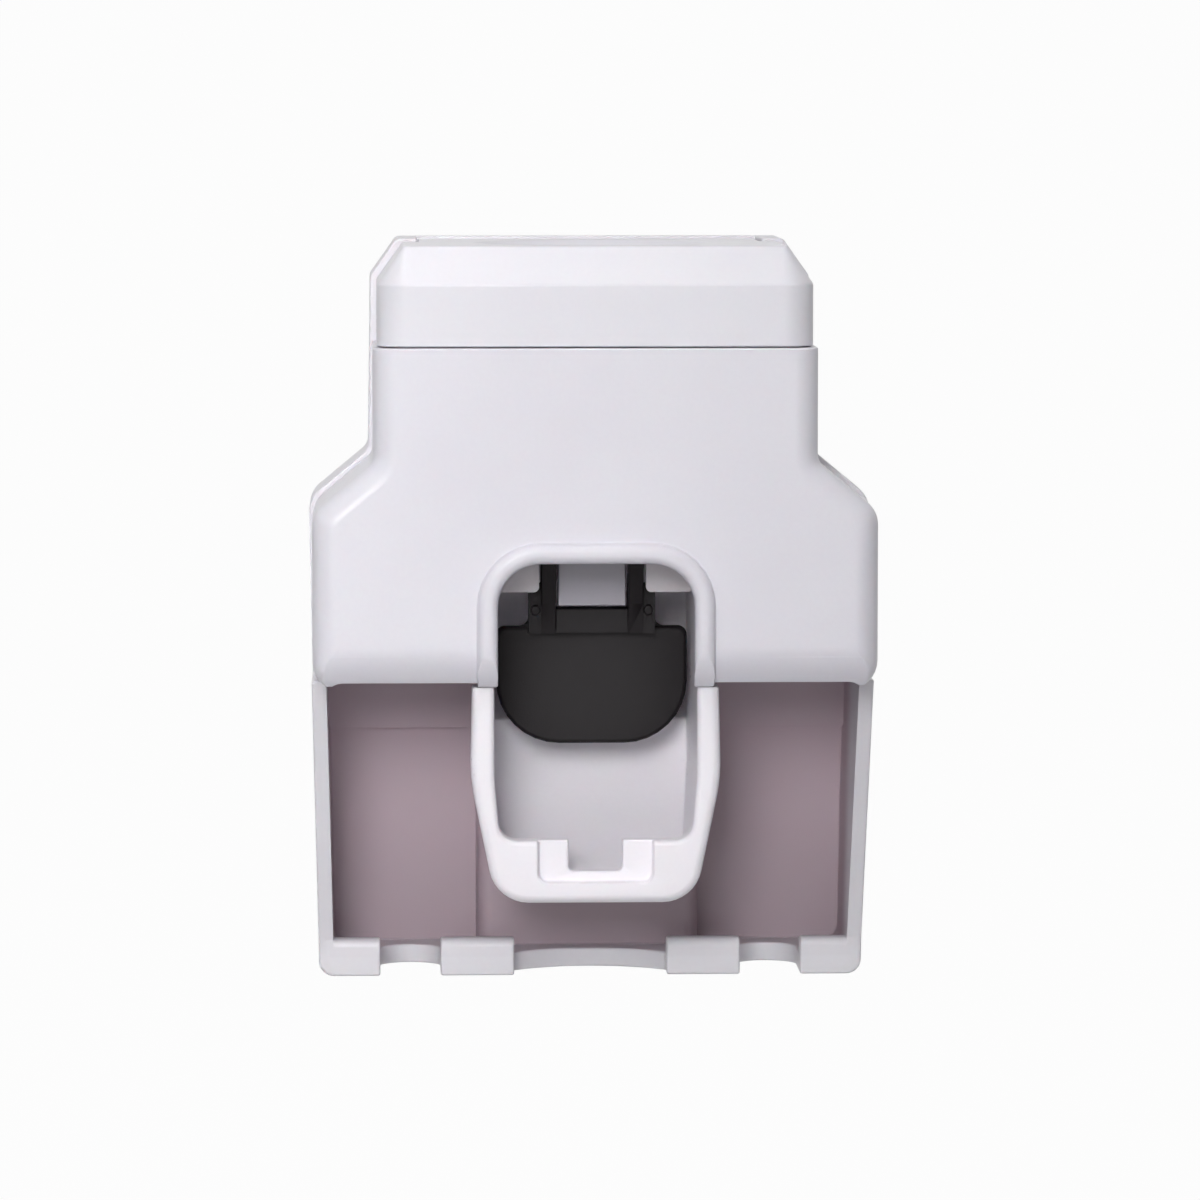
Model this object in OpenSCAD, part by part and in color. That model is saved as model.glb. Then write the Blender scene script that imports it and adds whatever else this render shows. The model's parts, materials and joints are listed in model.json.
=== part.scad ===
// Wall-mounted dispenser: a tube stands head down in the collar, a brush pushed into the cup
// swings the lever back, and the lever lifts a small piston that presses paste out of the spout.
// Millimetres. X runs to the right, Y towards the wall, Z up. The origin is the middle of the
// adhesive pad's wall-side face. Depths below are distances from the wall, counted forwards.

/* [Housing] */
// Width of the front cover at its wide part
cover_w = 92.4; // [88:0.2:116]
// Width of the cover and collar neck
neck_w = 72.6; // [68:0.2:76]
// Height of the seam between cover and collar
seam_h = 106.5; // [104:0.5:130]
// Height of the cover's lower edge
cover_low = 51.3; // [49:0.1:53]
// Height at which the shoulder meets the wide part
shoulder_low = 79.7; // [76:0.1:82]
// Height of the sloping shoulder
shoulder_h = 8.2; // [6:0.1:10]
// Depth of the cover's front face
front_depth = 52; // [50:0.5:64]
// Depth of the seam between rear case and cover
split_depth = 20; // [18:0.5:22]
// Wall of the mouldings
wall = 2.2; // [1.8:0.1:2.4]
// Amount by which the rear case stands proud of the front parts
case_rim = 0.8; // [0.4:0.1:1]
// Round of the cover's vertical front edges
edge_round = 4; // [2.6:0.1:4.5]
// Radius by which the cover's lower front leans in
lip_round = 9; // [5:0.5:10]
// Angle through which the lower front turns before it ends in a lip
lip_turn = 46; // [35:1:60]
// Round of the cover's lower side corners
foot_round = 5; // [3:0.5:6]
// Gap between mouldings that meet
seam_gap = 0.2; // [0.1:0.05:0.3]

/* [Arch] */
// Width of the arched opening
arch_w = 32; // [28:0.2:32.4]
// Height of the opening's crown
arch_top = 71.5; // [69:0.1:73]
// Round of the opening's upper corners
arch_round = 7; // [5:0.5:9]
// Width of the bead round the opening
bead_w = 3.3; // [3:0.1:4]
// Height of the bead above the face
bead_rise = 2; // [1:0.1:2.5]
// Round of the bead's edges
bead_round = 1.4; // [0.8:0.1:1.4]

/* [Brush cup] */
// Width of the cup's rim
cup_w = 40; // [39:0.2:42]
// Clear width inside the cup
cup_clear_w = 33.1; // [32.6:0.1:34]
// Height of the cup's underside
cup_low = 15.6; // [13:0.1:18]
// Height of the front lip
lip_h = 25.9; // [24:0.1:29]
// Depth of the cup's front rim
cup_front = 50; // [48:0.5:51]
// Width of the notch in the lip
notch_w = 18.8; // [14:0.2:20]
// Width of the narrow notch in the ledge behind the lip
ledge_notch_w = 8.8; // [6:0.2:12]
// Thickness of the lip, and of the ledge behind it
lip_t = 2; // [1.6:0.1:2.4]
// Round of the rim's edges
rim_round = 1.4; // [0.8:0.1:1.5]
// Height of the notch floor
notch_low = 19; // [18.6:0.1:22]
// Radius of the scooped floor
scoop_r = 27; // [25:0.5:28]
// Thickness of the cup's cheeks
cheek = 2.2; // [1.6:0.1:2.4]

/* [Brush rack] */
// Width of the case at its lower edge
foot_w = 91; // [88:0.2:93]
// Height of the brush rails
rail_h = 6.2; // [5:0.1:8]
// Thickness of the rack floor
floor_t = 3.2; // [2.5:0.1:4]
// Depth of the rails' front face
rail_front = 24; // [22:0.5:28]
// Thickness of the rails
rail_t = 4.2; // [3:0.1:5]
// Round of the rails' upper edges
rail_round = 1.4; // [0.5:0.1:1.4]
// Width of a brush slot
slot_w = 10.1; // [8:0.1:12]
// Distance from the middle to a brush slot
slot_x = 30.2; // [28:0.1:31]
// Depth at which a brush slot ends
slot_end = 8; // [7:0.5:12]
// Width of the gap between the inner rails
gap_w = 25.6; // [20:0.2:30]
// Depth of the floor's hollowed front edge at the middle
floor_mid = 13.6; // [12:0.1:16]
// Depth of the side walls' front edge below the cover
cheek_depth = 38; // [34:0.5:42]

/* [Wall fixing] */
// Thickness of the adhesive pad
pad_t = 0.8; // [0.5:0.1:1.2]
// Width of the adhesive pad
pad_w = 60; // [40:1:62]
// Height of the adhesive pad
pad_h = 46; // [34:1:48]
// Thickness of the hook plate
plate_t = 2; // [1.5:0.1:2.2]
// Width of the hook plate
plate_w = 64; // [50:1:65]
// Height of the hook plate
plate_h = 50; // [38:1:51]
// Height of the hook plate's middle above the case's foot
plate_mid = 74; // [73:0.5:75]
// Distance from the middle to a hook
hook_x = 22; // [16:0.5:25]
// Width of a hook
hook_w = 10; // [6:0.5:12]
// Thickness of a hook's neck and tip
hook_t = 2.4; // [2:0.1:3]
// Upward reach of a hook's tip
hook_reach = 5; // [3:0.1:5.4]
// Upward travel that frees the case from its hooks
unhook = 6; // [6:0.1:6.5]

/* [Collar and seat] */
// Height of the collar above the seam
collar_h = 16.3; // [16:0.1:22]
// Height of the collar's chamfer
chamfer_h = 6.2; // [4:0.1:7]
// Inset of the collar's chamfer
chamfer_in = 4.4; // [3:0.1:4.6]
// Step by which the collar stands back from the cover
collar_step = 0.7; // [0.3:0.1:1]
// Drop of the collar's skirt inside the neck
skirt_h = 5; // [3:0.1:6]
// Depth of the tube and pump axis
axis_depth = 26; // [25:0.1:27]
// Radius of the tube seat at its top
seat_r = 19.2; // [15:0.1:19.4]
// Radius of the bore that grips the tube's neck
neck_bore_r = 6.3; // [5:0.1:7]
// Length of the neck bore
neck_bore_l = 7.2; // [5:0.1:7.5]
// Outer radius of the gasket
gasket_r = 10; // [9:0.1:10.5]
// Thickness of the clamp ring
ring_t = 1.4; // [1:0.1:1.6]

/* [Pump] */
// Radius of the pump bore
bore_r = 6.5; // [6:0.1:7]
// Wall of the pump barrel
barrel_wall = 3; // [2:0.1:3.2]
// Travel of the piston
stroke = 4.8; // [3:0.1:4.9]
// Free height left above the piston at rest, which the spring fills
spring_h = 9; // [8.5:0.1:9.5]
// Length of the piston
piston_l = 3.6; // [3:0.1:4]
// Radius of the piston's stem
stem_r = 4; // [3:0.1:4.2]
// Radius of the paste channel
channel_r = 2; // [1.2:0.1:2.2]
// Width of the spout block
spout_w = 11.2; // [10:0.1:11.4]
// Depth of the spout block's front face
spout_front = 31.5; // [31:0.1:32]
// Height of the spout's mouth
spout_low = 62.9; // [62.6:0.1:63.4]
// Wire radius of the return spring
wire_r = 0.4; // [0.3:0.05:0.5]
// Turns of the return spring
spring_turns = 4.5; // [3:0.5:5]

/* [Lever] */
// Depth of the lever's pivot
pivot_depth = 38.4; // [38:0.1:39]
// Height of the lever's pivot
pivot_h = 81.6; // [81:0.1:82]
// Radius of the pivot pin
pin_r = 1.5; // [1.2:0.05:1.7]
// Running clearance round the pivot pin
pin_clear = 0.05; // [0.02:0.01:0.1]
// Clear width between the lever's arms
arm_gap = 12; // [11.9:0.1:12.4]
// Thickness of a lever arm
arm_t = 2.45; // [2:0.05:2.9]
// Width of the paddle
paddle_w = 31.8; // [24:0.2:32]
// Round of the paddle's lower corners
paddle_round = 10.5; // [6:0.5:11]
// Height of the paddle's lower edge
paddle_low = 39.7; // [38.5:0.1:44]
// Height of the paddle's upper edge
paddle_top = 59.3; // [58.6:0.1:59.6]
// Thickness of the paddle
paddle_t = 2.4; // [1.8:0.1:2.6]
// Depth of the paddle's back face
paddle_back = 26.8; // [26.4:0.1:27.2]

/* [Hidden] */
$fn = 48;

abs_white = [0.93, 0.93, 0.95];
lever_black = [0.13, 0.12, 0.13];
steel = [0.7, 0.7, 0.72];
silicone = [0.82, 0.84, 0.86];
pad_grey = [0.75, 0.75, 0.72];

// Steps of a rounded corner in an outline and of a rounded edge in a loft
corner_steps = 8;
edge_steps = 6;
// Length by which a cut runs past the face it opens
past = 1;
// Side clearance between pieces that pass each other
side_gap = 0.3;

case_hw = cover_w / 2 + case_rim;
case_top = seam_h + seam_gap + collar_h;
collar_hw = neck_w / 2 - collar_step;
back_depth = pad_t - 0.2;
back_wall = back_depth + wall;
pocket_floor = pad_t + plate_t + 0.6;
pocket_wall = pocket_floor + wall;
pocket_hw = plate_w / 2 + 2;
pocket_low = plate_mid - plate_h / 2 - unhook - 0.5;
pocket_high = plate_mid + plate_h / 2 + 0.5;
window_top = plate_mid + 6;
window_low = window_top - hook_t - unhook - 2.2;
pier_hw = cup_clear_w / 2 + cheek;
pier_front = 10;
pier_top = 49.5;
pier_round = 2.5;
pier_wall = 2;
pier_hollow_top = 38;
back_step_h = 40;
rail_hw = foot_w / 2 - wall / 2;

collar_low = seam_h + seam_gap;
collar_front = front_depth - collar_step;
plate_high = collar_low - 0.5;
plate_thick = 2.2;
flange_t = 2;
flange_r = 15;
flange_high = plate_high + flange_t;
cup_floor_t = 1.2;
gasket_low = flange_high + cup_floor_t;
gasket_high = gasket_low + neck_bore_l;
seat_low = gasket_high + ring_t;
barrel_r = bore_r + barrel_wall;
roof_h = plate_high - 3;
piston_top = roof_h - spring_h;
piston_low = piston_top - piston_l;
cap_low = piston_low - 2.6;
cap_t = 2;
block_top = cap_low - stroke - 0.4;
trunnion_r = 1.5;
mouth_back = axis_depth - 0.5;
mouth_depth = (mouth_back + spout_front) / 2;
mouth_step_h = spout_low + 3.1;
reach = pivot_depth - axis_depth;
trunnion_h = pivot_h - stroke / 2 + 0.1;
slot_clear = 0.2;
horn_angle = atan2(pivot_h - trunnion_h, reach);
arm_in = arm_gap / 2;
arm_out = arm_in + arm_t;
ear_in = arm_out + 0.4;
ear_t = 2.25;
ear_back = pivot_depth - 6;
apron_low = 65.4;
apron_t = 2;
apron_round = 0.9;
rib_in = 14;
rib_t = 2;
cup_bend_h = cup_low + 20.4;
cup_lip_back = cup_front - lip_t;
cup_ledge_back = cup_lip_back - lip_t - 0.4;
cup_block_low = 24;
cup_lean = 0.085;
sweep_r = norm([pivot_depth - paddle_back, pivot_h - paddle_low]) + 0.9;
boss_r = 3.2;
screw_r = 1.5;
screw_fit = 0.02;
head_r = 2.7;
cover_boss_r = 3.4;
cover_boss_x = case_hw - wall - cover_boss_r - 0.4;
cover_boss_z = [cover_low + 7, shoulder_low - 4];
collar_boss = [18.9, 14];
cup_post_x = 9;
cup_post_z = 31;
tongue_hw = 28.5;
tongue_back = back_wall + 0.6;
scoop_depth = 44;
scoop_h = notch_low + scoop_r;
skin = 3.4;
cheek_top = 67;

function unit(v) = v / norm(v);

// A rounded corner at b between its neighbours a and c in an anticlockwise outline. Each point is
// [x, y, outward x, outward y], so that the outline can be drawn in by moving along the outward.
function corner(a, b, c) =
    let (u = unit([a.x - b.x, a.y - b.y]),
         v = unit([c.x - b.x, c.y - b.y]),
         half = acos(u * v) / 2,
         side = cross(v, u) > 0 ? 1 : -1,
         centre = [b.x, b.y] + unit(u + v) * b[2] / sin(half),
         start = atan2(u.x, -u.y),
         turn = side * (180 - 2 * half))
    [for (i = [0 : corner_steps])
        let (t = start + turn * i / corner_steps)
        [centre.x + side * b[2] * cos(t), centre.y + side * b[2] * sin(t), cos(t), sin(t)]];

function outline(points) =
    let (n = len(points))
    [for (i = [0 : n - 1]) each corner(points[(i + n - 1) % n], points[i], points[(i + 1) % n])];

// Right half of a symmetric outline, given upwards, closed by its mirror image
function mirrored(half) =
    concat(half, [for (i = [len(half) - 1 : -1 : 0]) [-half[i].x, half[i].y, half[i][2]]]);

// Layers of a rounded front edge: [inset, depth] from the straight part to the face
function rounded_front(depth, r) =
    [for (i = [0 : edge_steps])
        let (t = 90 * i / edge_steps)
        [r * (1 - cos(t)), depth - r + r * sin(t)]];

// Layers of a hole from its back to a rounded mouth, which flares past the face
function flared_front(back, depth, r) =
    concat([[0, back]], [for (l = rounded_front(depth, r)) [-l[0], l[1]]], [[-r, depth + past]]);

// Faces of a loft of symmetric rings. The ends are ladders between mirrored points, so they may
// belong to outlines that turn inwards.
function loft_faces(n, rings) = let (last = (rings - 1) * n) concat(
    [for (i = [0 : n / 2 - 2]) each [[i, i + 1, n - 2 - i], [i, n - 2 - i, n - 1 - i]]],
    [for (i = [0 : n / 2 - 2]) each [[last + n - 2 - i, last + i + 1, last + i],
        [last + n - 1 - i, last + n - 2 - i, last + i]]],
    [for (k = [0 : rings - 2], i = [0 : n - 1]) let (j = (i + 1) % n)
        [k * n + i, (k + 1) * n + i, (k + 1) * n + j]],
    [for (k = [0 : rings - 2], i = [0 : n - 1]) let (j = (i + 1) % n)
        [k * n + i, (k + 1) * n + j, k * n + j]]);

// A front outline carried forwards through layers of [inset, depth]
module front_loft(line, layers)
    polyhedron(
        [for (l = layers) each [for (p = line) [p[0] - l[0] * p[2], -l[1], p[1] - l[0] * p[3]]]],
        loft_faces(len(line), len(layers)));

// A plan outline carried upwards through layers of [inset, height]
module plan_loft(line, layers)
    polyhedron(
        [for (l = layers) each [for (p = line) [p[0] - l[0] * p[2], p[1] - l[0] * p[3], l[1]]]],
        loft_faces(len(line), len(layers)));

// A front outline (x, z) as a straight slab between two depths
module front_slab(back, front)
    translate([0, -back, 0]) rotate([90, 0, 0]) linear_extrude(front - back) children();

// A side outline (depth, z) as a slab across the width
module side_slab(left, right)
    translate([right, 0, 0]) rotate([90, 0, -90]) linear_extrude(right - left) children();

// A box given by its half width, depths and heights
module centre_box(hw, back, front, low, high)
    translate([-hw, -front, low]) cube([2 * hw, front - back, high - low]);

// A box between two widths, and its mirror image
module side_boxes(inner, outer, back, front, low, high)
    for (s = [0, 1]) mirror([s, 0, 0])
        translate([inner, -front, low]) cube([outer - inner, front - back, high - low]);

// A round bar along the depth
module depth_rod(x, z, r, back, front)
    translate([x, -back, z]) rotate([90, 0, 0]) cylinder(r = r, h = front - back);

// A round bar along the width
module width_rod(depth, z, r, left, right)
    translate([left, -depth, z]) rotate([0, 90, 0]) cylinder(r = r, h = right - left);

// An upright round bar
module upright(x, depth, r, low, high)
    translate([x, -depth, low]) cylinder(r = r, h = high - low);

// Puts the case frame's origin, under the rack, below the adhesive pad's middle
module hang() translate([0, 0, -plate_mid]) children();

// Outline of the rear case drawn in by d, from the foot to a given top
function case_outline(d, low, high) = outline(mirrored([
    [foot_w / 2 - d, low, 2.5],
    [case_hw - d, shoulder_low + 0.4, 4.7],
    [neck_w / 2 + case_rim - d, shoulder_low + shoulder_h + 0.4, 2.5],
    [neck_w / 2 + case_rim - 0.4 - d, case_top + 0.5 - chamfer_h, 1.5],
    [neck_w / 2 + case_rim - 0.4 - d - chamfer_in, high, 1.2]]));

module adhesive_pad()
    color(pad_grey) hang()
        front_loft(outline(mirrored([
            [pad_w / 2, plate_mid - pad_h / 2, 4], [pad_w / 2, plate_mid + pad_h / 2, 4]])),
            [[0, 0], [0, pad_t]]);

module hook_plate()
    color(abs_white) hang() {
        front_loft(outline(mirrored([
            [plate_w / 2, plate_mid - plate_h / 2, 5], [plate_w / 2, plate_mid + plate_h / 2, 5]])),
            [[0, pad_t], [0, pad_t + plate_t - 0.5], [0.5, pad_t + plate_t]]);
        side_slab(hook_x - hook_w / 2, hook_x + hook_w / 2) hook_profile();
        side_slab(-hook_x - hook_w / 2, -hook_x + hook_w / 2) hook_profile();
    }

// Side view of a hook: a neck through the window and an upturned tip
module hook_profile() {
    neck_front = pocket_wall + 0.4 + hook_t;
    polygon([
        [pad_t + plate_t - 0.5, window_top - hook_t - 1.6],
        [neck_front - 1, window_top - hook_t],
        [neck_front, window_top - hook_t + 1],
        [neck_front, window_top + hook_reach - 1],
        [neck_front - 0.8, window_top + hook_reach],
        [pocket_wall + 0.4, window_top + hook_reach],
        [pocket_wall + 0.4, window_top],
        [pad_t + plate_t - 0.5, window_top]]);
}

// Side view of the rear case: shallow rack below, wedge-shaped cheeks, even depth above
module case_profile()
    polygon([
        [back_depth, 0], [rail_front, 0], [rail_front, rail_h],
        [cheek_depth, cover_low - seam_gap], [split_depth, cover_low - seam_gap],
        [split_depth, case_top + 0.5], [back_depth, case_top + 0.5]]);

// Outer walls of the rear case, open to the front
module case_shell()
    difference() {
        intersection() {
            front_loft(case_outline(0, 0, case_top + 0.5),
                [[0.8, back_depth], [0, back_depth + 0.8], [0, cheek_depth + past]]);
            side_slab(-case_hw, case_hw) case_profile();
        }
        front_loft(case_outline(wall + 0.2, floor_t, case_top + 0.5 - wall),
            [[0, back_wall], [0, cheek_depth + 2 * past]]);
    }

// Side view of a rail with its two rounded upper edges
module rail_profile() {
    low = floor_t - 0.5;
    back = rail_front - rail_t;
    translate([back, low]) square([rail_t, rail_h - rail_round - low]);
    translate([back + rail_round, low]) square([rail_t - 2 * rail_round, rail_h - low]);
    for (depth = [back + rail_round, rail_front - rail_round])
        translate([depth, rail_h - rail_round]) circle(rail_round);
}

module rear_case()
    color(abs_white) hang() difference() {
        union() {
            difference() {
                union() {
                    case_shell();
                    side_slab(gap_w / 2, rail_hw) rail_profile();
                    side_slab(-rail_hw, -gap_w / 2) rail_profile();
                }
                rail_cuts();
            }
            intersection() {
                front_loft(case_outline(wall - 0.4, 0, case_top), [[0, back_depth + 0.5], [0, pocket_wall]]);
                centre_box(case_hw, 0, pocket_wall, back_step_h, pocket_high + wall);
            }
            pier();
            cover_bosses();
        }
        centre_box(pocket_hw, 0, pocket_floor, pocket_low, pocket_high);
        centre_box(pier_hw - pier_wall, 0, pier_front - pier_wall, floor_t + pier_wall, pier_hollow_top);
        side_boxes(hook_x - hook_w / 2 - 1, hook_x + hook_w / 2 + 1, pocket_floor - past, pocket_wall + past,
            window_low, window_top);
        tongue_gap();
        for (s = [-1, 1]) {
            for (z = cover_boss_z) {
                depth_rod(s * cover_boss_x, z, screw_r + 0.2, 0, split_depth + past);
                depth_rod(s * cover_boss_x, z, head_r + 0.2, 0, split_depth - 5);
            }
            depth_rod(s * cup_post_x, cup_post_z, screw_r + 0.2, 0, pier_front + past);
        }
    }

// Brush slots and the open middle with its hollowed floor edge
module rail_cuts() {
    mid_back = rail_front - rail_t - 1;
    for (s = [-1, 1]) {
        translate([s * slot_x - slot_w / 2, -rail_front - past, -past])
            cube([slot_w, rail_front + past - slot_end - slot_w / 2, rail_h + 2 * past]);
        upright(s * slot_x, slot_end + slot_w / 2, slot_w / 2, -past, rail_h + past);
    }
    sag = mid_back - floor_mid;
    arc_r = (gap_w * gap_w / 4 + sag * sag) / (2 * sag);
    intersection() {
        upright(0, floor_mid + arc_r, arc_r, -past, rail_h + past);
        centre_box(gap_w / 2, floor_mid, rail_front + past, -past, rail_h + past);
    }
    centre_box(gap_w / 2, mid_back, rail_front + past, -past, rail_h + past);
}

// Hollow pier behind the cup that carries it
module pier()
    plan_loft(outline(mirrored([
        [pier_hw, -pier_front, pier_round], [pier_hw, 0.5 - back_wall, 0.5]])),
        [[0, floor_t - 0.5], [0, pier_top + 0.5]]);

module cover_bosses()
    for (s = [-1, 1], z = cover_boss_z)
        depth_rod(s * cover_boss_x, z, cover_boss_r, back_depth + 0.5, split_depth);

// Opening in the rear case's top for the collar's tongue
module tongue_gap() {
    centre_box(tongue_hw + side_gap, tongue_back - side_gap, split_depth + past,
        pocket_high + wall + past, case_top + past);
}

// Side view of the cover, whose lower front leans in and ends in a lip
module cover_profile(front) {
    turn_h = cover_low + lip_round * sin(lip_turn);
    difference() {
        translate([split_depth + seam_gap, cover_low])
            square([front - split_depth - seam_gap, seam_h - cover_low]);
        difference() {
            translate([front - lip_round, cover_low - past])
                square([lip_round + past, turn_h - cover_low + past]);
            translate([front - lip_round, turn_h]) circle(lip_round);
        }
    }
}

function cover_outline(d, low, r) = outline(mirrored([
    [cover_w / 2 - d, low, r],
    [cover_w / 2 - d, shoulder_low, 4.7],
    [neck_w / 2 - d, shoulder_low + shoulder_h, 2.5],
    [neck_w / 2 - d, seam_h + 20, 5]]));

function arch_outline(grow) = outline(mirrored([
    [arch_w / 2 + grow, cover_low - 12, 2],
    [arch_w / 2 + grow, arch_top + grow, arch_round + grow]]));

module front_cover()
    color(abs_white) hang() difference() {
        union() {
            difference() {
                intersection() {
                    front_loft(cover_outline(0, cover_low - foot_round / 5, foot_round),
                        concat([[0, split_depth]], rounded_front(front_depth, edge_round)));
                    side_slab(-cover_w, cover_w) cover_profile(front_depth);
                }
                front_loft(cover_outline(wall, cover_low - 20, 5),
                    concat([[0, split_depth - past]],
                        rounded_front(front_depth - wall, edge_round - 1.4)));
            }
            intersection() {
                front_loft(arch_outline(bead_w),
                    concat([[0, front_depth - wall]], rounded_front(front_depth + bead_rise, bead_round)));
                side_slab(-cover_w, cover_w) cover_profile(front_depth + bead_rise);
            }
            for (s = [-1, 1], z = cover_boss_z)
                depth_rod(s * cover_boss_x, z, cover_boss_r, split_depth + seam_gap, front_depth - wall + 0.5);
        }
        front_loft(arch_outline(0), flared_front(front_depth - 8, front_depth + bead_rise, bead_round));
        for (s = [-1, 1], z = cover_boss_z)
            depth_rod(s * cover_boss_x, z, screw_r + screw_fit, split_depth, split_depth + 12);
    }

function cup_outline() = outline(mirrored([
    [cup_w / 2 - 3.7, cup_low, 6.5],
    [cup_w / 2 + 0.5, cup_bend_h, 30],
    [cup_w / 2, cover_low + 8, 3]]));

// Outline of the cup's hollow from a floor height upwards, its lower sides leaning in
function cup_hollow(low, r) = outline(mirrored([
    [cup_clear_w / 2 - cup_lean * (cup_bend_h - low), low, r],
    [cup_clear_w / 2, cup_bend_h, 12],
    [cup_clear_w / 2, cheek_top + 5, 1]]));

// Side view of the cup's outside: upright front, underside that rounds up to the back
module cup_profile() {
    difference() {
        translate([scoop_depth - scoop_r - skin, cup_low])
            square([cup_front + past - scoop_depth + scoop_r + skin, cover_low - seam_gap - cup_low]);
        difference() {
            translate([scoop_depth - scoop_r - skin - past, cup_low - past])
                square([scoop_r + skin + past, scoop_r + skin + past]);
            translate([scoop_depth, scoop_h]) circle(scoop_r + skin);
        }
    }
    translate([pier_front, cup_block_low]) square([18, pier_top - cup_block_low]);
}

// Side view of the cup's hollow: a scooped floor, and behind it the sweep of the paddle's edge
module scoop_profile() {
    translate([scoop_depth, scoop_h]) circle(scoop_r);
    translate([scoop_depth, notch_low]) square([cup_ledge_back - scoop_depth, 60]);
    translate([pivot_depth, pivot_h]) circle(sweep_r);
}

module brush_cup()
    color(abs_white) hang() difference() {
        union() {
            intersection() {
                front_loft(cup_outline(), concat([[0, pier_front]], rounded_front(cup_front, rim_round)));
                side_slab(-cup_w, cup_w) cup_profile();
            }
            side_boxes(cup_clear_w / 2, pier_hw, scoop_depth - scoop_r - skin, front_depth - wall - 0.5,
                cover_low - 6, cheek_top);
        }
        intersection() {
            front_loft(cup_hollow(notch_low - 2, 5),
                [[0, pier_front - past], [0, cup_ledge_back]]);
            side_slab(-cup_w, cup_w) scoop_profile();
        }
        front_loft(cup_hollow(lip_h, 3),
            flared_front(cup_ledge_back - 2, cup_front, 0.9));
        front_loft(outline(mirrored([
            [notch_w / 2, notch_low, 1.6],
            [notch_w / 2, lip_h + 1, 0.3]])),
            [[0, cup_lip_back], [0, cup_front + past]]);
        front_loft(outline(mirrored([
            [ledge_notch_w / 2, notch_low + 1.7, 0.8],
            [ledge_notch_w / 2, lip_h + 1, 0.3]])),
            [[0, cup_ledge_back - 2], [0, cup_lip_back + past]]);
        side_boxes(pier_hw, cup_w, 0, cup_front - 6.5, 0, cover_low);
        centre_box(cup_clear_w / 2, pier_front - past, scoop_depth - scoop_r - 4, 0, 28);
        for (s = [-1, 1])
            depth_rod(s * cup_post_x, cup_post_z, screw_r + screw_fit, pier_front - past, pier_front + 6);
    }

// A pan-head screw along the depth, its head towards the wall
module back_screw(x, z, head, tip) {
    depth_rod(x, z, head_r, head, head + 2);
    depth_rod(x, z, screw_r, head + 2 - 0.01, tip);
}

module housing_screws()
    color(steel) hang()
        for (s = [-1, 1], z = cover_boss_z)
            back_screw(s * cover_boss_x, z, split_depth - 7.2, split_depth + 11);

module cup_screws()
    color(steel) hang()
        for (s = [-1, 1])
            back_screw(s * cup_post_x, cup_post_z, pier_front - 4.2, pier_front + 5);

// Plan outline of the collar, or of what lies inside it, drawn in by d
function collar_plan(d) = outline(mirrored([
    [collar_hw - d, -collar_front + d, 5 - d / 2],
    [collar_hw - d, 20, 5]]));

module top_collar()
    color(abs_white) hang() difference() {
        union() {
            difference() {
                intersection() {
                    plan_loft(collar_plan(0), [[0, collar_low], [0, case_top - chamfer_h],
                        [chamfer_in, case_top]]);
                    centre_box(60, split_depth + seam_gap, 60, collar_low, case_top);
                }
                plan_loft(collar_plan(wall), [[0, collar_low - past], [0, case_top - chamfer_h],
                    [chamfer_in - 1, case_top - wall]]);
            }
            centre_box(tongue_hw, tongue_back, split_depth + 1, case_top - wall, case_top);
            side_boxes(tongue_hw - 2, tongue_hw, tongue_back, split_depth + 1, collar_low, case_top - 1);
            skirt();
            seat();
            for (s = [-1, 1], t = [-1, 1])
                upright(s * collar_boss.x, axis_depth + t * collar_boss.y, 3, plate_high, case_top - 1);
        }
        translate([0, -axis_depth, 0]) seat_hollow();
        for (s = [-1, 1], t = [-1, 1])
            upright(s * collar_boss.x, axis_depth + t * collar_boss.y, screw_r + screw_fit, plate_high - past,
                plate_high + 9);
    }

module skirt()
    difference() {
        intersection() {
            plan_loft(collar_plan(wall - collar_step + side_gap), [[0, collar_low - skirt_h],
                [0, collar_low + 2]]);
            centre_box(60, split_depth + 1, 60, 0, case_top);
        }
        plan_loft(collar_plan(wall - collar_step + side_gap + 1.6), [[0, collar_low - skirt_h - past],
            [0, collar_low + 2 + past]]);
    }

// Outside of the tube seat
module seat()
    translate([0, -axis_depth, 0]) rotate_extrude()
        polygon([[0, flange_high], [gasket_r + 2.2, flange_high], [gasket_r + 2.2, seat_low - 2],
            [seat_r + 1.2, case_top - 1], [seat_r + 1.2, case_top], [0, case_top]]);

// Cone for the tube's shoulder, ledge for the ring, cup for the gasket and the way to the pump
module seat_hollow()
    rotate_extrude()
        polygon([[0, flange_high - past], [neck_bore_r + 0.7, flange_high - past],
            [neck_bore_r + 0.7, gasket_low], [gasket_r, gasket_low], [gasket_r, gasket_high],
            [gasket_r + 1.6, gasket_high], [gasket_r + 1.6, seat_low], [seat_r, case_top],
            [seat_r, case_top + past], [0, case_top + past]]);

module tube_gasket()
    color(silicone) hang() translate([0, -axis_depth, 0]) rotate_extrude()
        polygon([[neck_bore_r, gasket_low], [gasket_r, gasket_low], [gasket_r, gasket_high],
            [neck_bore_r, gasket_high]]);

module gasket_ring()
    color(abs_white) hang() translate([0, -axis_depth, 0]) rotate_extrude()
        polygon([[neck_bore_r + 1.4, gasket_high], [gasket_r + 1.6, gasket_high],
            [gasket_r + 1.6, seat_low], [neck_bore_r + 2.2, seat_low],
            [neck_bore_r + 1.4, seat_low - 0.6]]);

module collar_screws()
    color(steel) hang()
        for (s = [-1, 1], t = [-1, 1]) {
            upright(s * collar_boss.x, axis_depth + t * collar_boss.y, head_r, plate_high - plate_thick - 1.8,
                plate_high - plate_thick);
            upright(s * collar_boss.x, axis_depth + t * collar_boss.y, screw_r,
                plate_high - plate_thick - 0.01, plate_high + 8);
        }

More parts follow.
